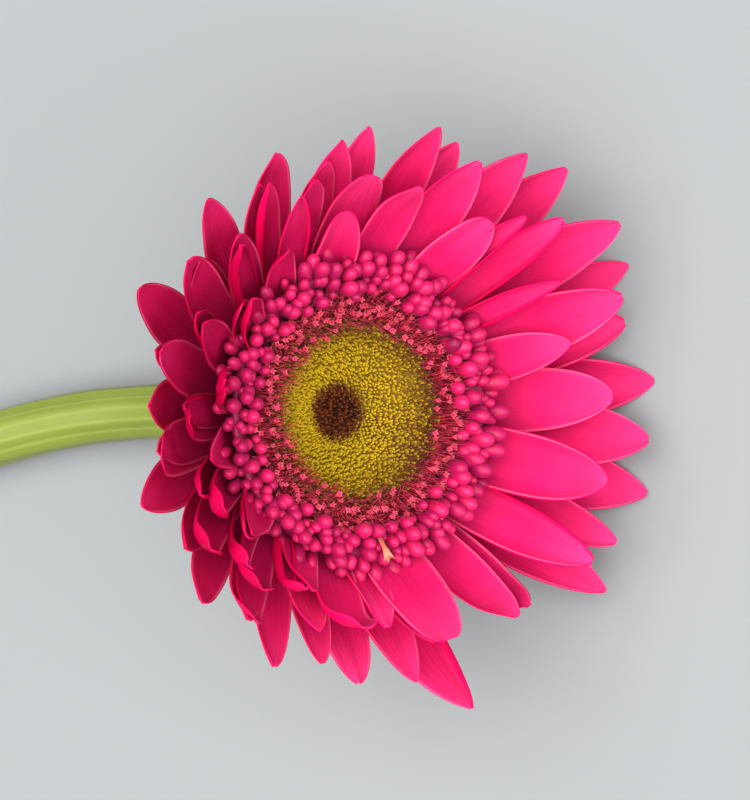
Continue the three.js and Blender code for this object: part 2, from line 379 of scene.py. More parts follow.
def cupped(across, half_width, cup, roll):
    """Sideways and upward place of a point across a petal that is cupped and rolled."""
    steps = 7
    side = lift = 0.0
    for i in range(steps):
        share = abs(across) * (i + 0.5) / steps
        lean = cup * share + roll * smooth(share, 0.35, 1.0)
        side += math.cos(lean)
        lift += math.sin(lean)
    step = half_width * abs(across) / steps
    return math.copysign(side * step, across), lift * step


# %% A grid with its growth map
def mapped_grid(rows, columns):
    """A flat grid, and the share along and across of each of its corners."""
    shape = bmesh.new()
    bmesh.ops.create_grid(shape, x_segments=rows, y_segments=columns, size=1)
    growth_uv = shape.loops.layers.uv.new(GROWTH_MAP)
    shares = {}
    for corner in shape.verts:
        shares[corner] = ((corner.co.x + 1) / 2, corner.co.y)
    for face in shape.faces:
        for loop in face.loops:
            along, across = shares[loop.vert]
            loop[growth_uv].uv = (along, (across + 1) / 2)
    return shape, shares


# %% [markdown]
# ## Where each petal grows
# Fifty-three petals spring from the receptacle in four rings. A list says how each
# stands: the way it points, its length and width as shares of the largest, how much
# further its tip rises, and how far it rolls about its own middle. It is the list
# that the CAD model is made from, so the printed check should find every grown petal
# within a few millimetres of its CAD solid.

# %% The four rings of petals
petal_rings = [
    ("outer", -4.4, 9, 37, [
        (26, 1.00, 0.92, -2, 4), (48, 0.98, 1.00, 0, -4), (69, 0.83, 0.83, 0, 3),
        (91, 0.80, 0.75, 0, -3), (113, 0.78, 0.67, 0, 4), (131, 0.78, 0.67, 0, -5),
        (155, 0.78, 0.75, 0, 4), (178, 0.69, 0.75, 0, 0), (200, 0.73, 0.75, 0, -4),
        (222, 0.78, 0.75, 0, 5), (247, 0.75, 0.67, 0, -4), (268, 0.75, 0.83, 0, 4),
        (291, 0.93, 1.00, 0, 0), (326, 0.96, 0.83, 0, 0), (345, 0.99, 1.00, 5, 0),
        (5, 0.98, 1.00, 2, 0),
    ]),
    ("second", -2.9, 15.5, 42, [
        (17, 0.89, 0.92, 0, 3), (37, 1.00, 0.92, 0, -4), (58, 0.91, 0.92, 0, 3),
        (80, 0.88, 0.83, 0, -4), (100, 0.80, 0.83, 0, 4), (122, 0.78, 0.58, 0, -6),
        (146, 0.78, 0.75, 0, 5), (168, 0.78, 0.75, 0, -3), (190, 0.76, 0.75, 0, 5),
        (212, 0.78, 0.75, 0, -5), (233, 0.78, 0.75, 0, 4), (309, 0.80, 0.83, 0, -4),
        (334, 0.91, 0.83, 0, 3), (355, 0.93, 1.00, 0, 0),
    ]),
    ("third", -1.4, 22, 46, [
        (3, 0.80, 0.92, 0, 0), (24, 0.88, 0.92, 0, -3), (44, 0.84, 0.83, 0, 4),
        (71, 0.83, 0.92, 0, 2), (95, 0.70, 0.92, 0, -3), (115, 0.71, 0.67, 0, 6),
        (136, 0.73, 0.67, 0, -6), (159, 0.71, 0.67, 0, 5), (182, 0.71, 0.67, 0, -5),
        (205, 0.73, 0.67, 0, 5), (229, 0.75, 0.75, 0, -5), (258, 0.73, 0.92, 0, 3),
        (304, 0.78, 0.83, 0, 0), (327, 0.84, 0.92, 0, 0),
    ]),
    ("inner", 0.1, 28, 49, [
        (17, 0.67, 0.67, 0, 4), (60, 0.67, 0.75, 0, -5), (101, 0.58, 0.75, 0, 4),
        (147, 0.64, 0.67, 0, -4), (172, 0.58, 0.58, 0, 5), (217, 0.60, 0.67, 0, -5),
        (243, 0.60, 0.67, 0, 4), (284, 0.72, 0.92, 0, 0), (344, 0.80, 1.00, 0, 0),
    ]),
]
print("petals:", sum(len(ring[-1]) for ring in petal_rings))

# %% [markdown]
# Between those stand smaller petals, tucked in just above a ring, most of them on the
# stem's side, where the head is fullest. They are only for looks, so the CAD model has none of
# them. Each is given its ring first, and then the same five numbers.

# %% The tucked petals
tucked_petals = [
    (0, 102, 0.74, 0.66, 0, 4), (0, 122, 0.76, 0.62, 0, -4), (0, 143, 0.72, 0.66, 0, 3),
    (0, 167, 0.70, 0.66, 0, -4), (0, 189, 0.68, 0.66, 0, 4), (0, 211, 0.74, 0.66, 0, -3),
    (0, 235, 0.73, 0.62, 0, 4), (0, 257, 0.72, 0.62, 0, -5), (0, 280, 0.78, 0.75, 0, 3),
    (1, 110, 0.74, 0.64, 0, -4), (1, 134, 0.72, 0.60, 0, 4), (1, 157, 0.70, 0.64, 0, -3),
    (1, 179, 0.68, 0.62, 0, 5), (1, 201, 0.70, 0.64, 0, -4), (1, 222, 0.71, 0.64, 0, 3),
    (1, 250, 0.68, 0.66, 0, -5), (1, 284, 0.70, 0.66, 0, 4),
    (2, 84, 0.72, 0.66, 0, 3), (2, 125, 0.62, 0.58, 0, 4), (2, 148, 0.62, 0.60, 0, -4),
    (2, 170, 0.60, 0.58, 0, 3), (2, 193, 0.60, 0.58, 0, -4), (2, 217, 0.62, 0.60, 0, 4),
    (2, 238, 0.72, 0.60, 0, -4), (2, 270, 0.62, 0.64, 0, 3),
    (2, 54, 0.78, 0.60, 3, 3), (2, 35, 0.73, 0.52, 3, -3),
]
print("tucked petals:", len(tucked_petals))

# %% [markdown]
# ## The petals' habits
# Every petal also has habits of its own. Some are nearly flat and some are deep
# troughs, some roll an edge over so that the pale underside shows, and tips curl in
# or out. Most are small chance differences from a seeded draw, so that they are the
# same each time. The ones that are plain to see are set by name.

# %% Habits set by name
# cup: degrees that the rims lean in. before, after: degrees that the edge on the side
# of the smaller or larger turn rolls over. tip: millimetres that the tip curls up.
# sway: millimetres that the tip swings sideways. blunt: how slim the tip is, from a
# round 0.35 to a pointed 0.85. wave, phase: the edges' ripple. tone_and_painted_shade:
# how deep the petal is in colour: a chance tone of its own, plus painted shade that is
# most on the stem's side, where the petals face away from the key light.
petal_habits = {
    "outer_ray_13": {"after": 165, "cup": 10},
    "inner_ray_08": {"blunt": 0.36, "cup": 16, "before": 0, "after": 12},
    "inner_ray_09": {"tip": 3.0, "after": 40},
    "third_ray_14": {"after": 115, "cup": 18},
    "third_ray_13": {"cup": 44, "tip": 2.5},
    # Painted shade: this petal is darkened where its tip curls over.
    "second_ray_12": {"cup": 46, "tip": 5.0, "tone_and_painted_shade": 0.7},
    "third_ray_12": {"cup": 54, "tip": 4.5, "blunt": 0.45},
    "third_ray_11": {"cup": 56, "tip": 3.5, "blunt": 0.45},
    "third_ray_10": {"cup": 48, "tip": 2.5},
    "second_ray_11": {"cup": 42, "tip": 3.0},
    "second_ray_10": {"cup": 50, "tip": 3.0, "blunt": 0.5},
    "third_ray_07": {"before": 95, "after": 95, "cup": 40},
    "third_ray_08": {"cup": 46, "blunt": 0.5},
    "second_ray_06": {"after": 120, "cup": 36},
    "third_ray_06": {"before": 125, "cup": 40},
    "second_ray_07": {"cup": 44, "blunt": 0.46},
    "third_ray_03": {"before": 100, "after": 70, "cup": 34},
    "inner_ray_02": {"cup": 12, "blunt": 0.42, "before": 0, "after": 0},
    "third_ray_05": {"cup": 14, "blunt": 0.42, "before": 0, "after": 10},
    "inner_ray_03": {"cup": 50, "blunt": 0.45},
    "inner_ray_04": {"cup": 48, "before": 60},
    "tucked_ray_12": {"cup": 52, "blunt": 0.45},
    "tucked_ray_13": {"before": 90, "cup": 40},
    "tucked_ray_14": {"after": 100, "cup": 40},
    "tucked_ray_15": {"cup": 60, "tip": 3.0, "blunt": 0.45},
    "tucked_ray_23": {"cup": 55, "blunt": 0.45},
    "tucked_ray_24": {"before": 150, "after": 130, "cup": 40, "tip": 4.0},
    "tucked_ray_26": {"before": 120, "after": 60, "cup": 34},
    "tucked_ray_27": {"before": 125, "after": 40, "cup": 34},
}

# %% Grow one petal
PETAL_ROWS, PETAL_COLUMNS = 34, 18
PETAL_WALL = 0.3


def petal_shape(ring, stance, above, habit):
    """One petal as an open sheet in the head's own frame, in millimetres."""
    _, root, foot, tip, _ = ring
    turn, length_share, width_share, further, roll_about = stance
    length = length_share * longest_petal
    half_width = width_share * widest_petal / 2 * fuller
    stem_side = stem_side_rise * (1 - math.cos(math.radians(turn))) / 2
    foot_level = root + above * alternate_level
    foot_rise = math.radians(foot + above * alternate_rise)
    tip_rise = math.radians(tip + above * alternate_rise + stem_side + further)

    shape, shares = mapped_grid(PETAL_ROWS, PETAL_COLUMNS)
    for corner, (row_share, across) in shares.items():
        along = 1 - (1 - row_share) ** 1.35
        outline = petal_outline(along, habit["blunt"])
        radius, level, rise = petal_line(foot_level, foot_rise, tip_rise, length, along)

        open_share = smooth(along, 0.12, 0.5)
        edge = habit["before"] if across > 0 else habit["after"]
        cup = math.radians(habit["cup"]) * (1.25 - 0.4 * along)
        rolled = math.radians(edge) * open_share
        side, lift = cupped(across, half_width * outline, cup, rolled)
        ripple = math.sin(along * 9 + habit["phase"] + across) * across ** 2
        lift += habit["wave"] * ripple * open_share
        ridge = math.cos(across * 2.5 * math.pi) * 0.05 * open_share
        ridge *= 1 - smooth(along, 0.8, 0.95)
        lump = noise.noise(Vector((along * 5, across * 1.5, habit["phase"] * 9))) * 0.35
        lift += ridge + lump * open_share
        lift += habit["tip"] * smooth(along, 0.72, 1.0) ** 2
        side += habit["sway"] * along ** 2

        tilt = math.radians(roll_about) * smooth(along, 0.1, 0.7)
        rolled_side = side * math.cos(tilt) - lift * math.sin(tilt)
        rolled_lift = side * math.sin(tilt) + lift * math.cos(tilt)
        corner.co = (
            radius - rolled_lift * math.sin(rise),
            -rolled_side,
            level + rolled_lift * math.cos(rise),
        )
    about_axis = Matrix.Rotation(math.radians(turn), 3, "Z")
    bmesh.ops.rotate(shape, cent=(0, 0, 0), matrix=about_axis, verts=shape.verts)
    return shape


# %% Put a finished piece in its place


def carry(mesh, name, values):
    """Gives each point of a mesh a number that the finishes can read."""
    mesh.attributes.new(name, "FLOAT", "POINT").data.foreach_set("value", values)


def set_piece(shape, name, nodes, materials):
    """Makes an object of a shape in row-frame metres that stands for CAD nodes."""
    mesh = bpy.data.meshes.new(name)
    shape.to_mesh(mesh)
    shape.free()
    mesh.shade_smooth()
    for material in materials:
        mesh.materials.append(material)
    piece = bpy.data.objects.new(name, mesh)
    bpy.context.scene.collection.objects.link(piece)
    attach(piece, "root")
    if nodes:
        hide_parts(*nodes)
    return piece


# %% Grow all of the petals


def grow_petal(node, name, ring, stance, above):
    """Grows one petal with its habits. A node is the CAD petal that it stands for."""
    chance = random.Random(name)
    habit = {
        "cup": chance.uniform(14, 34),
        "before": chance.uniform(-10, 36),
        "after": chance.uniform(-10, 36),
        "tip": chance.uniform(-1.2, 1.6),
        "sway": chance.uniform(-0.8, 0.8),
        "blunt": chance.uniform(0.6, 0.85),
        "wave": chance.uniform(0.05, 0.3),
        "phase": chance.uniform(0, 6.28),
        # The chance part is the petal's own tone; the part that grows towards the stem's side is
        # painted shade.
        "tone_and_painted_shade": chance.uniform(0.0, 0.3) + 0.6 * max(0.0, math.cos(math.radians(stance[0] - 175))),
    }
    habit.update(petal_habits.get(name, {}))
    shape = petal_shape(ring, stance, above, habit)
    bmesh.ops.transform(shape, matrix=head_place, verts=shape.verts)
    for corner in shape.verts:  # where it meets the floor, it lies flat
        corner.co.z = max(corner.co.z, PETAL_WALL * MM)
    piece = set_piece(shape, name, [node] if node else [], [petal_upper, petal_under])
    carry(piece.data, "tone_and_painted_shade", [habit["tone_and_painted_shade"]] * len(piece.data.vertices))
    wall = piece.modifiers.new("wall", "SOLIDIFY")
    wall.thickness = PETAL_WALL * MM
    wall.offset = 0
    wall.material_offset = 1
    wall.material_offset_rim = 0
    return piece


worst_gap = 0
for ring in petal_rings:
    for index, stance in enumerate(ring[-1]):
        node = f"{ring[0]}_petal_{index + 1:02d}"
        piece = grow_petal(node, f"{ring[0]}_ray_{index + 1:02d}", ring, stance, index % 2)
        low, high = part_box(node)
        middle = sum((v.co for v in piece.data.vertices), Vector()) / len(piece.data.vertices)
        worst_gap = max(worst_gap, (middle - (low + high) / 2).length / MM)
print("furthest petal middle from its CAD box's middle, mm:", round(worst_gap, 2))

for index, (ring_number, *stance) in enumerate(tucked_petals):
    grow_petal(None, f"tucked_ray_{index + 1:02d}", petal_rings[ring_number], stance, 2.1)

# %% [markdown]
# ## Many small florets
# The disc is hundreds of small florets. Each kind is modelled once, with only a few
# dozen faces, and copied to every seat with its own turn and size. Two numbers go
# with each point: how far up its floret it is, and a chance tint for the floret, so
# one finish can colour them all differently.

# %% Helpers for the florets
GOLDEN_TURN = math.radians(137.508)


def floret(segments, outline):
    """A small closed floret of height 1, from its outline's (height, radius) points."""
    shape = bmesh.new()
    start = [shape.verts.new((radius, 0, height)) for height, radius in outline]
    edges = [shape.edges.new(pair) for pair in zip(start, start[1:])]
    bmesh.ops.spin(
        shape, geom=start + edges, cent=(0, 0, 0), axis=(0, 0, 1),
        angle=2 * math.pi, steps=segments, use_merge=True,
    )
    bmesh.ops.remove_doubles(shape, verts=shape.verts, dist=1e-4)
    bmesh.ops.recalc_face_normals(shape, faces=shape.faces)
    return shape


def as_mesh(shape, name):
    mesh = bpy.data.meshes.new(name)
    shape.to_mesh(mesh)
    shape.free()
    return mesh


def sow(shape, pattern, seats, tints):
    """Adds a copy of a floret at each seat, and lists every new point's two numbers."""
    heights = [v.co.z for v in pattern.vertices]
    tip_values, tint_values = [], []
    for seat, tint in zip(seats, tints):
        copy = pattern.copy()
        copy.transform(seat)
        shape.from_mesh(copy)
        bpy.data.meshes.remove(copy)
        tip_values += heights
        tint_values += [tint] * len(heights)
    return tip_values, tint_values


def seat_at(turn, radius, level, lean, width, height, spin):
    """Where a floret sits: its place on the disc, its outward lean and its size."""
    return (
        Matrix.Rotation(turn, 4, "Z")
        @ Matrix.Translation((radius, 0, level))
        @ Matrix.Rotation(lean, 4, "Y")
        @ Matrix.Rotation(spin, 4, "Z")
        @ Matrix.Diagonal((width, width, height, 1))
    )


def level_on(outline, radius):
    """The level of a bed at a radius, from its (radius, level) outline."""
    for (r0, z0), (r1, z1) in zip(outline, outline[1:]):
        if min(r0, r1) <= radius <= max(r0, r1) and r0 != r1:
            return z0 + (z1 - z0) * (radius - r0) / (r1 - r0)
    return outline[-1][1]


def bed(outline, segments=64):
    """A solid of revolution under the florets, from its (radius, level) outline."""
    return floret(segments, [(level, radius) for radius, level in outline])


# %% Sizes of the CAD rings, measured from the frame
sizes = {}
for node in ("disc_heart", "disc_florets", "disc_fringe", "bud_florets"):
    low, high = (z - centre.dot(out_of_face) / MM for z in reach(node, out_of_face))
    width = reach(node, sideways)
    sizes[node] = ((width[1] - width[0]) / 2, low, high)
    print(node, "radius, lowest and highest level:", [round(x, 2) for x in sizes[node]])

# %% [markdown]
# ## Floret finishes
# The buds are waxy and pink, the fringe is red with pale tips, the bowl is a powdery
# yellow green that darkens to olive at its rim, and the heart is brown. They differ
# in colour only, so one function makes them all.

# %% Finishes for the florets


def floret_finish(name, foot, body, tip, other, tip_from, depth, **values):
    """A floret's material: foot to tip colours, and another colour by chance tint."""
    material, tree, shader = new_finish(name, **values)
    height = read(tree, "tip")
    base = ramp(tree, height, [(0.0, foot), (tip_from * 0.7, body), (1.0, tip)])
    base = mix(tree, read(tree, "tint"), base, colour(other))
    base = uneven(tree, base, depth, 260.0)
    tree.links.new(base, shader.inputs["Base Color"])
    here = add(tree, "TexCoord").outputs["Object"]
    grain = add(tree, "TexNoise", {"Vector": here, "Scale": 4000.0, "Detail": 2.0})
    height = grain.outputs["Fac"]
    lumps = add(tree, "Bump", {"Height": height, "Strength": 0.25, "Distance": 0.0001})
    tree.links.new(lumps.outputs["Normal"], shader.inputs["Normal"])
    rough = values.get("Roughness", 0.5)
    uneven_rough = sums(tree, "MULTIPLY_ADD", grain.outputs["Fac"], 0.2, rough - 0.1)
    tree.links.new(uneven_rough, shader.inputs["Roughness"])
    return material


bud_finish = floret_finish(
    "bud_wax", "620225", "a9063f", "d21a5e", "8c0544", 0.8, 0.2,
    Roughness=0.4, Sheen_Weight=0.02, Specular_IOR_Level=0.22,
    Subsurface_Weight=0.1, Subsurface_Scale=0.001,
)
fringe_finish = floret_finish(
    "fringe_red", "600416", "b90b36", "d95770", "a71228", 0.9, 0.2,
    Roughness=0.5, Sheen_Weight=0.05, Specular_IOR_Level=0.15,
)
bowl_finish = floret_finish(
    "bowl_yellow", "765a09", "a3820b", "b59810", "623412", 0.9, 0.12,
    Roughness=0.65, Sheen_Weight=0.03, Specular_IOR_Level=0.1,
)
heart_finish = floret_finish(
    "heart_brown", "1e0802", "4a1a04", "723409", "300e02", 0.9, 0.2,
    Roughness=0.7, Sheen_Weight=0.03, Specular_IOR_Level=0.08,
)
print("floret finishes made")

# %% [markdown]
# ## The ring of buds
# Around the disc stand crowded rows of buds that haven't opened: small glossy eggs
# with a blunt point, leaning further out from row to row. They sit on a sloping
# bed, dark where it shows between them.

# %% Grow the buds
bud_radius, bud_low, bud_high = sizes["bud_florets"]
fringe_radius, fringe_low, fringe_high = sizes["disc_fringe"]
bowl_radius, _, bowl_high = sizes["disc_florets"]
heart_radius, heart_low, heart_high = sizes["disc_heart"]

bud_outline = [
    (0.0, 0.0), (0.04, 0.3), (0.35, 0.44), (0.65, 0.5),
    (0.83, 0.42), (0.94, 0.25), (1.0, 0.0),
]
BUD_WIDTH, BUD_HEIGHT = 2.65, 5.7
bud_pattern = as_mesh(floret(9, bud_outline), "bud_pattern")
bud_bed = [
    (fringe_radius - 5.0, bud_low), (fringe_radius - 4.4, bud_low),
    (bud_radius - 1.4, bud_high - 4.8), (bud_radius - 2.4, bud_high - 4.3),
    (fringe_radius + 0.4, fringe_high - 3.4), (fringe_radius + 0.3, fringe_high - 4.2),
    (fringe_radius - 5.0, bud_low),
]
chance = random.Random("buds")
seats, tints = [], []
bud_rows = [
    (0.6, 46, 11.1, 4), (1.5, 50, 11.7, 10), (2.3, 52, 12.1, 17),
    (3.1, 54, 12.3, 25), (3.9, 54, 12.2, 35), (4.7, 52, 11.7, 46),
]
for beyond, count, level, lean in bud_rows:
    for i in range(count):
        turn = 2 * math.pi * (i + chance.uniform(-0.3, 0.3)) / count + beyond
        size = chance.uniform(0.66, 1.2) * (0.93 + 0.08 * math.cos(turn))
        seats.append(seat_at(
            turn, fringe_radius + beyond + chance.uniform(-0.5, 0.5),
            level + chance.uniform(-0.7, 0.6), math.radians(lean + chance.uniform(-14, 14)),
            BUD_WIDTH * size, BUD_HEIGHT * size, chance.uniform(0, 6),
        ))
        tints.append(chance.uniform(0, 0.7))
shape = bed(bud_bed)
count = len(shape.verts)
tips, shades = sow(shape, bud_pattern, seats, tints)
bmesh.ops.transform(shape, matrix=head_place, verts=shape.verts)
buds = set_piece(shape, "bud_ring", ["bud_florets"], [bud_finish])
carry(buds.data, "tip", [0.0] * count + tips)
carry(buds.data, "tint", [0.55] * count + shades)
print("buds:", len(seats), "faces:", len(buds.data.polygons))

# %% [markdown]
# ## The fringe
# Inside the buds is a fringe of thin open florets. Each is a slender tube with a
# star-shaped mouth, and fine bristles stand between them with pale ends. Together
# they look like a reddish brush around the bowl.

# %% Grow the fringe


def star_mouth(shape, top, spread, rise):
    """Pulls every second corner of a floret's top out and up into a lobe."""
    high = (v for v in shape.verts if v.co.z > top)
    corners = sorted(high, key=lambda v: math.atan2(v.co.y, v.co.x))
    for i, corner in enumerate(corners):
        if i % 2:
            corner.co.x *= spread
            corner.co.y *= spread
            corner.co.z += rise


tube_outline = [(0.0, 0.0), (0.0, 0.3), (0.6, 0.34), (0.9, 0.5), (0.82, 0.3), (0.7, 0.0)]
tube = floret(8, tube_outline)
star_mouth(tube, 0.86, 1.7, 0.1)
tube_pattern = as_mesh(tube, "tube_pattern")
bristle_outline = [(0.0, 0.0), (0.02, 0.5), (0.6, 0.32), (1.0, 0.0)]
bristle_pattern = as_mesh(floret(3, bristle_outline), "bristle_pattern")

fringe_bed = [
    (bowl_radius - 3.4, fringe_low), (fringe_radius - 4.2, fringe_low),
    (fringe_radius - 0.3, fringe_high - 3.0), (fringe_radius - 0.4, fringe_high - 2.4),
    (bowl_radius + 0.3, fringe_high - 2.6), (bowl_radius + 0.2, fringe_high - 3.2),
    (bowl_radius - 3.4, fringe_low),
]
chance = random.Random("fringe")
shape = bed(fringe_bed)
tips, shades = [0.0] * len(shape.verts), [0.6] * len(shape.verts)
for pattern, count, width, height, leans in (
    (tube_pattern, 290, 0.66, 3.5, (-18, 44)), (bristle_pattern, 3200, 0.2, 4.4, (-38, 58)),
):
    seats, tints = [], []
    for i in range(count):
        radius = bowl_radius - 1.6 + chance.random() * (fringe_radius - bowl_radius + 2.6)
        seats.append(seat_at(
            i * GOLDEN_TURN, radius, fringe_high - 3.0 + chance.uniform(-0.3, 0.5),
            math.radians(chance.uniform(*leans)), width * chance.uniform(0.8, 1.2),
            height * chance.uniform(0.8, 1.15), chance.uniform(0, 6),
        ))
        tints.append(chance.uniform(0, 0.7) ** 1.5)
    more_tips, more_shades = sow(shape, pattern, seats, tints)
    tips += more_tips
    shades += more_shades
bmesh.ops.transform(shape, matrix=head_place, verts=shape.verts)
fringe = set_piece(shape, "fringe_brush", ["disc_fringe"], [fringe_finish])
carry(fringe.data, "tip", tips)
carry(fringe.data, "tint", shades)
print("fringe faces:", len(fringe.data.polygons))

# %% [markdown]
# One floret at the fringe's lower edge has opened pale, and leans right out.

# %% The pale floret
pale_finish = floret_finish(
    "pale_floret", "7a2226", "c05a48", "de9270", "cc7a5a", 0.9, 0.15,
    Roughness=0.5, Sheen_Weight=0.05, Specular_IOR_Level=0.15,
)
shape = bmesh.new()
seat = seat_at(
    math.radians(276), fringe_radius + 0.2, fringe_high + 0.6, math.radians(50), 1.3, 6.8, 0,
)
tips, shades = sow(shape, tube_pattern, [seat], [0.3])
bmesh.ops.transform(shape, matrix=head_place, verts=shape.verts)
pale = set_piece(shape, "pale_floret", [], [pale_finish])
carry(pale.data, "tip", tips)
carry(pale.data, "tint", shades)
print("pale floret grown")

# %% [markdown]
# ## The bowl
# The middle of the disc is a shallow bowl, tightly packed with tiny closed florets.
# They sit in the two-way spiral that such flowers grow in: each seat is turned 137.5
# degrees from the last one and a little further out.

# %% Grow the bowl
bowl_line = [(heart_radius + 0.3, heart_low)]
bowl_line += [(heart_radius + 0.3, heart_high - 1.0)]
for share in (0.25, 0.5, 0.75, 1.0):
    bowl_line.append((
        heart_radius + (bowl_radius - heart_radius - 0.2) * share,
        heart_high - 1.0 + (bowl_high - heart_high) * share ** 1.15,
    ))
bowl_line += [
    (bowl_radius - 0.3, bowl_high - 2.4), (heart_radius + 2.6, heart_low),
    (heart_radius + 0.3, heart_low),
]
grain_outline = [(0.0, 0.0), (0.03, 0.4), (0.55, 0.52), (0.85, 0.36), (1.0, 0.0)]
grain_pattern = as_mesh(floret(6, grain_outline), "grain_pattern")
chance = random.Random("bowl")
seats, tints = [], []
GRAINS, GRAIN_WIDTH, GRAIN_HEIGHT = 3600, 0.56, 1.8
inner_area, outer_area = (heart_radius - 0.2) ** 2, (bowl_radius + 0.4) ** 2
for i in range(GRAINS):
    share = (i + 0.5) / GRAINS
    radius = math.sqrt(inner_area + (outer_area - inner_area) * share)
    out = (radius - heart_radius) / (bowl_radius - heart_radius)
    level = level_on(bowl_line[1:6], min(bowl_radius - 0.25, max(heart_radius + 0.31, radius)))
    size = chance.uniform(0.8, 1.2)
    seats.append(seat_at(
        i * GOLDEN_TURN + chance.uniform(-0.02, 0.02), radius + chance.uniform(-0.25, 0.25),
        level - 0.9, math.radians(-24 + 18 * out + chance.uniform(-16, 16)),
        GRAIN_WIDTH * size, GRAIN_HEIGHT * chance.uniform(0.8, 1.2), chance.uniform(0, 6),
    ))
    at_rim = smooth(out, 0.4, 1.0) * chance.uniform(0.25, 1.4)
    browned = max(at_rim, 1 - smooth(radius, heart_radius, heart_radius + 2.6))
    tints.append(min(1.0, max(0.0, browned + chance.uniform(-0.1, 0.12))))
shape = bed(bowl_line)
count = len(shape.verts)
tips, shades = sow(shape, grain_pattern, seats, tints)
bmesh.ops.transform(shape, matrix=head_place, verts=shape.verts)
bowl = set_piece(shape, "bowl_of_florets", ["disc_florets"], [bowl_finish])
carry(bowl.data, "tip", [0.0] * count + tips)
carry(bowl.data, "tint", [0.3] * count + shades)
print("bowl florets:", len(seats), "faces:", len(bowl.data.polygons))

# %% [markdown]
# ## The heart
# At the bottom of the bowl the youngest florets are still folded, a dark brown tuft
# with a soft edge. It is a low dome with pointed grains in the same spiral.

# %% Grow the heart
heart_line = [
    (0.0, heart_low), (heart_radius, heart_low), (heart_radius, heart_high - 1.6),
    (heart_radius * 0.6, heart_high - 1.1), (0.0, heart_high - 0.9),
]
chance = random.Random("heart")
seats, tints = [], []
HEART_GRAINS = 150
for i in range(HEART_GRAINS):
    radius = (heart_radius + 0.5) * math.sqrt((i + 0.5) / HEART_GRAINS)
    seats.append(seat_at(
        i * GOLDEN_TURN, radius, heart_high - 1.9 + chance.uniform(-0.2, 0.3),
        math.radians(-14 * radius / heart_radius + chance.uniform(-14, 14)),
        0.72 * chance.uniform(0.8, 1.2), 2.0 * chance.uniform(0.75, 1.2), chance.uniform(0, 6),
    ))
    tints.append(chance.uniform(0, 0.8))
shape = bed(heart_line, 32)
count = len(shape.verts)
tips, shades = sow(shape, grain_pattern, seats, tints)
bmesh.ops.transform(shape, matrix=head_place, verts=shape.verts)
heart = set_piece(shape, "heart_tuft", ["disc_heart"], [heart_finish])
carry(heart.data, "tip", [0.0] * count + tips)
carry(heart.data, "tint", [0.3] * count + shades)
print("heart grains:", len(seats))

# %% [markdown]
# ## The stem
# The stem swells into the receptacle at its top, dives from the head to the surface
# in an even bend and lies down, swaying to one side. It is a grid wrapped round that
# line, so its growth map runs along and around it. Shallow ribs run its whole length,
# and the far end is cut across, with pale pith inside a green rim.

# %% The stem's line
stem_length, neck_radius, cut_radius = 360, 5.0, 5.8
neck_depth = 14
sway_angle, sway_start, sway_length, sway_back = 17, 26, 85, 22
neck_height = centre.z / MM - neck_depth * math.cos(face_tilt)
receptacle_line = [
    (2.1, 9.8), (1.1, 10.8), (-5.2, 10.8), (-7.6, 10.2), (-9.8, 8.8), (-11.4, 7.0),
]


def stem_heading(length):
    """The stem's heading, sideways and over directions at a length below the neck."""
    dive = math.pi / 2 - face_tilt
    taper = math.atan((cut_radius - neck_radius) / stem_length)
    arc_radius = (neck_height - neck_radius) / (1 - math.cos(dive))
    bent = min(1.0, length / (arc_radius * dive))
    pitch = dive + (-taper - dive) * bent
    yaw = sway_angle * smooth(length, sway_start, sway_length)
    yaw = math.radians(yaw - sway_back * smooth(length, sway_length, stem_length))
    side = Vector((math.sin(yaw), -math.cos(yaw), 0))
    level_share = math.cos(pitch)
    heading = Vector((-level_share * math.cos(yaw), -level_share * math.sin(yaw), -math.sin(pitch)))
    return heading, side, heading.cross(side)


def stem_sections(count):
    """Places along the stem, each with its directions and radius, in millimetres."""
    start = stem_heading(0)
    found = [(start[0] * -level, start, radius) for level, radius in receptacle_line]
    point = start[0] * neck_depth
    step, fine = stem_length / count, 8
    for i in range(count + 1):
        radius = neck_radius + (cut_radius - neck_radius) * i / count
        found.append((point.copy(), stem_heading(i * step), radius))
        for j in range(fine):
            point += stem_heading((i + (j + 0.5) / fine) * step)[0] * step / fine
    return found


sections = stem_sections(176)
print("stem sections:", len(sections), "neck height, mm:", round(neck_height, 2))

# %% [markdown]
# ## The stem's finish
# Fresh yellow green, lighter along its ribs, with the odd brown scuff from handling.

# %% Stem and pith finishes
stem_finish, tree, shader = new_finish(
    "stem_green", Specular_IOR_Level=0.25, Sheen_Weight=0.05, Sheen_Roughness=0.5,
)
pattern = place_veins(tree, 14.0, 0.012)
greens = [(0.0, "5c6926"), (0.06, "677528"), (0.3, "6e7c2b"), (1.0, "647127")]
base = ramp(tree, pattern["Along"], greens)
base = mix(tree, sums(tree, "MULTIPLY", pattern["Vein"], 0.3), base, colour("8a9645"))
here = add(tree, "TexCoord").outputs["Object"]
scuffs = add(tree, "TexNoise", {"Vector": here, "Scale": 160.0, "Detail": 4.0})
scuff = sums(tree, "MULTIPLY", between(tree, scuffs.outputs["Fac"], 0.66, 0.74), 0.55)
base = mix(tree, scuff, base, colour("6f7a2c"))
base = uneven(tree, base, 0.2, 60.0)
tree.links.new(base, shader.inputs["Base Color"])
lumps = add(tree, "Bump", {"Height": pattern["Vein"], "Strength": 0.35, "Distance": 0.0003})
tree.links.new(lumps.outputs["Normal"], shader.inputs["Normal"])
tree.links.new(sums(tree, "MULTIPLY_ADD", pattern["Vein"], 0.12, 0.45), shader.inputs["Roughness"])

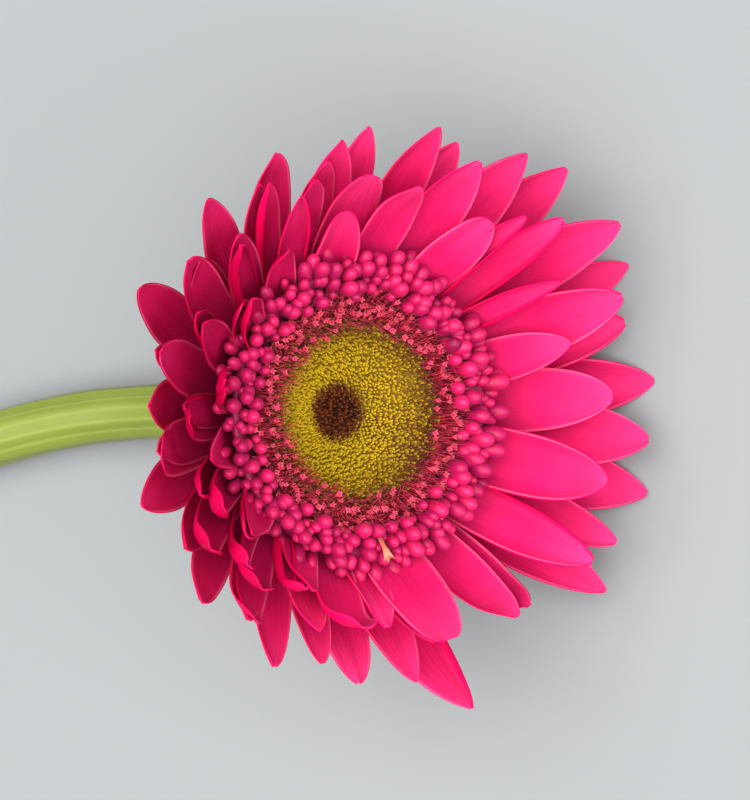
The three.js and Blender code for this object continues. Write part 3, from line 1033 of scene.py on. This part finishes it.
pith_finish, tree, shader = new_finish("cut_pith", Specular_IOR_Level=0.4)
here = add(tree, "TexCoord").outputs["Object"]
cells = add(tree, "TexVoronoi", {"Vector": here, "Scale": 1600.0})
base = mix(tree, cells.outputs["Distance"], colour("dfe3a4"), colour("9fae5a"))
tree.links.new(uneven(tree, base, 0.25, 500.0), shader.inputs["Base Color"])
rough = sums(tree, "MULTIPLY_ADD", cells.outputs["Distance"], 0.2, 0.4)
tree.links.new(rough, shader.inputs["Roughness"])
print("finishes:", stem_finish.name, pith_finish.name)

# %% Grow the stem
RIBS = 9
shape, shares = mapped_grid(len(sections) - 1, 54)
for corner, (along, across) in shares.items():
    place, (heading, side, over), radius = sections[round(along * (len(sections) - 1))]
    around = math.pi * across
    rib = 0.16 * math.cos(RIBS * around + 1.5 * math.sin(along * 9)) * smooth(along, 0.03, 0.12)
    lump = 0.22 * noise.noise(Vector((along * 30, math.cos(around), math.sin(around))))
    grown = radius + 0.15 + rib + lump * smooth(along, 0.03, 0.08)
    corner.co = place + (side * math.cos(around) + over * math.sin(around)) * grown
bmesh.ops.remove_doubles(shape, verts=shape.verts, dist=1e-4)
open_edges = [edge for edge in shape.edges if edge.is_boundary]
ends = bmesh.ops.edgeloop_fill(shape, edges=open_edges)["faces"]
cut_face = min(ends, key=lambda face: face.calc_center_median().x)
cut_face.material_index = 1
bmesh.ops.inset_region(shape, faces=[cut_face], thickness=0.9, depth=0.0)
bmesh.ops.inset_region(shape, faces=[cut_face], thickness=0.5, depth=-0.6)
bmesh.ops.recalc_face_normals(shape, faces=shape.faces)
rib_height = Vector((0, 0, 0.3 * MM))
stem_place = Matrix.Translation(centre + rib_height) @ Matrix.Scale(MM, 4)
bmesh.ops.transform(shape, matrix=stem_place, verts=shape.verts)
for corner in shape.verts:
    corner.co.z = max(corner.co.z, 0.05 * MM)
stem = set_piece(shape, "grown_stem", ["stem"], [stem_finish, pith_finish])
lowest = min(v.co.z for v in stem.data.vertices) / MM
print("stem faces:", len(stem.data.polygons), "lowest, mm:", round(lowest, 3))

# %% [markdown]
# ## The bracts
# A cup of small pointed green bracts holds the head from below, in three overlapping
# rows. Each is a little leaf on the cup's outline, made the way a petal is, and given
# its thickness at once because they are all joined in one piece.

# %% The bracts' finish
bract_finish, tree, shader = new_finish(
    "bract_green", Specular_IOR_Level=0.3, Sheen_Weight=0.35, Sheen_Roughness=0.5,
)
pattern = place_veins(tree, 5.0, 0.05)
greens = [(0.0, "93ab48"), (0.6, "6f8f38"), (0.9, "5b6b33"), (1.0, "7a4a3a")]
base = ramp(tree, pattern["Along"], greens)
base = mix(tree, sums(tree, "MULTIPLY", pattern["Vein"], 0.3), base, colour("a9bd62"))
tree.links.new(uneven(tree, base, 0.3, 200.0), shader.inputs["Base Color"])
lumps = add(tree, "Bump", {"Height": pattern["Vein"], "Strength": 0.5, "Distance": 0.0002})
tree.links.new(lumps.outputs["Normal"], shader.inputs["Normal"])
tree.links.new(sums(tree, "MULTIPLY_ADD", pattern["Vein"], 0.1, 0.55), shader.inputs["Roughness"])

# %% Grow the bracts
cup_line = [
    (6.2, -14.0), (8.3, -11.9), (10.0, -10.3), (11.3, -8.1),
    (11.7, -6.2), (12.6, -5.0), (14.2, -4.5),
]
cup_steps = [0.0]
for (r0, z0), (r1, z1) in zip(cup_line, cup_line[1:]):
    cup_steps.append(cup_steps[-1] + math.hypot(r1 - r0, z1 - z0))


def on_cup(length):
    """Radius, level and outward direction on the cup's outline at a length up it."""
    for i in range(len(cup_line) - 1):
        if length <= cup_steps[i + 1] or i == len(cup_line) - 2:
            share = (length - cup_steps[i]) / (cup_steps[i + 1] - cup_steps[i])
            (r0, z0), (r1, z1) = cup_line[i], cup_line[i + 1]
            step = Vector((r1 - r0, z1 - z0)).normalized()
            return r0 + (r1 - r0) * share, z0 + (z1 - z0) * share, Vector((step.y, -step.x))


def bract_shape(turn, start, end, half_width, off):
    """One bract as a thin closed leaf in the head's own frame, in millimetres."""
    shape, shares = mapped_grid(10, 6)
    for corner, (along, across) in shares.items():
        radius, level, outward = on_cup(start + (end - start) * along)
        width = half_width * (1 - along ** 2.2) ** 0.8 + 0.05
        raised = off + 0.35 * along - 0.25 * abs(across)
        spot = radius + outward.x * raised
        around = across * width / spot
        corner.co = (spot * math.cos(around), spot * math.sin(around), level + outward.y * raised)
    bmesh.ops.recalc_face_normals(shape, faces=shape.faces)
    bmesh.ops.solidify(shape, geom=shape.faces[:], thickness=0.3)
    bmesh.ops.rotate(shape, cent=(0, 0, 0), matrix=Matrix.Rotation(turn, 3, "Z"), verts=shape.verts)
    return shape


chance = random.Random("bracts")
cup_bed = [
    (6.0, -14.0), (6.6, -14.0), (8.6, -11.8), (10.4, -10.2), (11.8, -8.0), (12.1, -6.3),
    (11.2, -6.3), (10.6, -7.7), (9.2, -10.0), (7.4, -11.6), (6.0, -14.0),
]
shape = bed(cup_bed, 48)
for row, (start, end, count) in enumerate([(3.0, 12.4, 22), (1.2, 9.6, 20), (0.0, 6.6, 16)]):
    for i in range(count):
        leaf = as_mesh(bract_shape(
            2 * math.pi * (i + 0.5 * row + chance.uniform(-0.1, 0.1)) / count, start,
            end + chance.uniform(-0.8, 0.8), 1.75, 0.35 + 0.4 * row,
        ), "leaf")
        shape.from_mesh(leaf)
        bpy.data.meshes.remove(leaf)
bmesh.ops.transform(shape, matrix=head_place, verts=shape.verts)
bracts = set_piece(shape, "bract_cup", ["involucre"], [bract_finish])
print("bract faces:", len(bracts.data.polygons))

# %% [markdown]
# ## Floor and light
# A plain floor and two large soft lights. The key hangs straight above, so that the
# petals that lie open to it are bright, and those that stand steeply on the stem's
# side stay deep in colour; their colour is also darkened there by painted shade. The
# fill comes from beyond the head and softens its shadow, and a pale world does the
# rest. The lights are strong enough to bring the petals to their full red, so the
# floor's own colour is a middle grey that they make pale.

# %% Floor
floor_finish, tree, shader = new_finish("pale_floor", Roughness=0.9, Specular_IOR_Level=0.1)
here = add(tree, "TexCoord").outputs["Object"]
cloud = add(tree, "TexNoise", {"Vector": here, "Scale": 3.0, "Detail": 2.0})
base = mix(tree, cloud.outputs["Fac"], colour("7c7e7f"), colour("808283"))
tree.links.new(base, shader.inputs["Base Color"])
sheet = bmesh.new()
bmesh.ops.create_grid(sheet, x_segments=1, y_segments=1, size=4.0)
floor_mesh = as_mesh(sheet, "floor")
floor_mesh.materials.append(floor_finish)
floor = bpy.data.objects.new("floor", floor_mesh)
bpy.context.scene.collection.objects.link(floor)

# %% Lights


def soft_light(name, place, power, size):
    """A square soft light that faces the flower head."""
    lamp = bpy.data.lights.new(name, "AREA")
    lamp.energy = power
    lamp.size = size
    hung = bpy.data.objects.new(name, lamp)
    facing = place.to_track_quat("Z", "Y").to_matrix().to_4x4()
    hung.matrix_world = Matrix.Translation(centre + place) @ facing
    bpy.context.scene.collection.objects.link(hung)


soft_light("key_light", Vector((-0.12, 0.02, 1.14)), 49.0, 1.7)
soft_light("fill_light", Vector((0.85, -0.25, 0.75)), 16.0, 1.4)

world = bpy.data.worlds.new("studio")
bpy.context.scene.world = world
world.use_nodes = True
surround = world.node_tree.nodes["Background"]
surround.inputs["Color"].default_value = colour("e6e9eb")
surround.inputs["Strength"].default_value = 0.42
bpy.context.scene.view_settings.view_transform = "Standard"
print("lights hung")
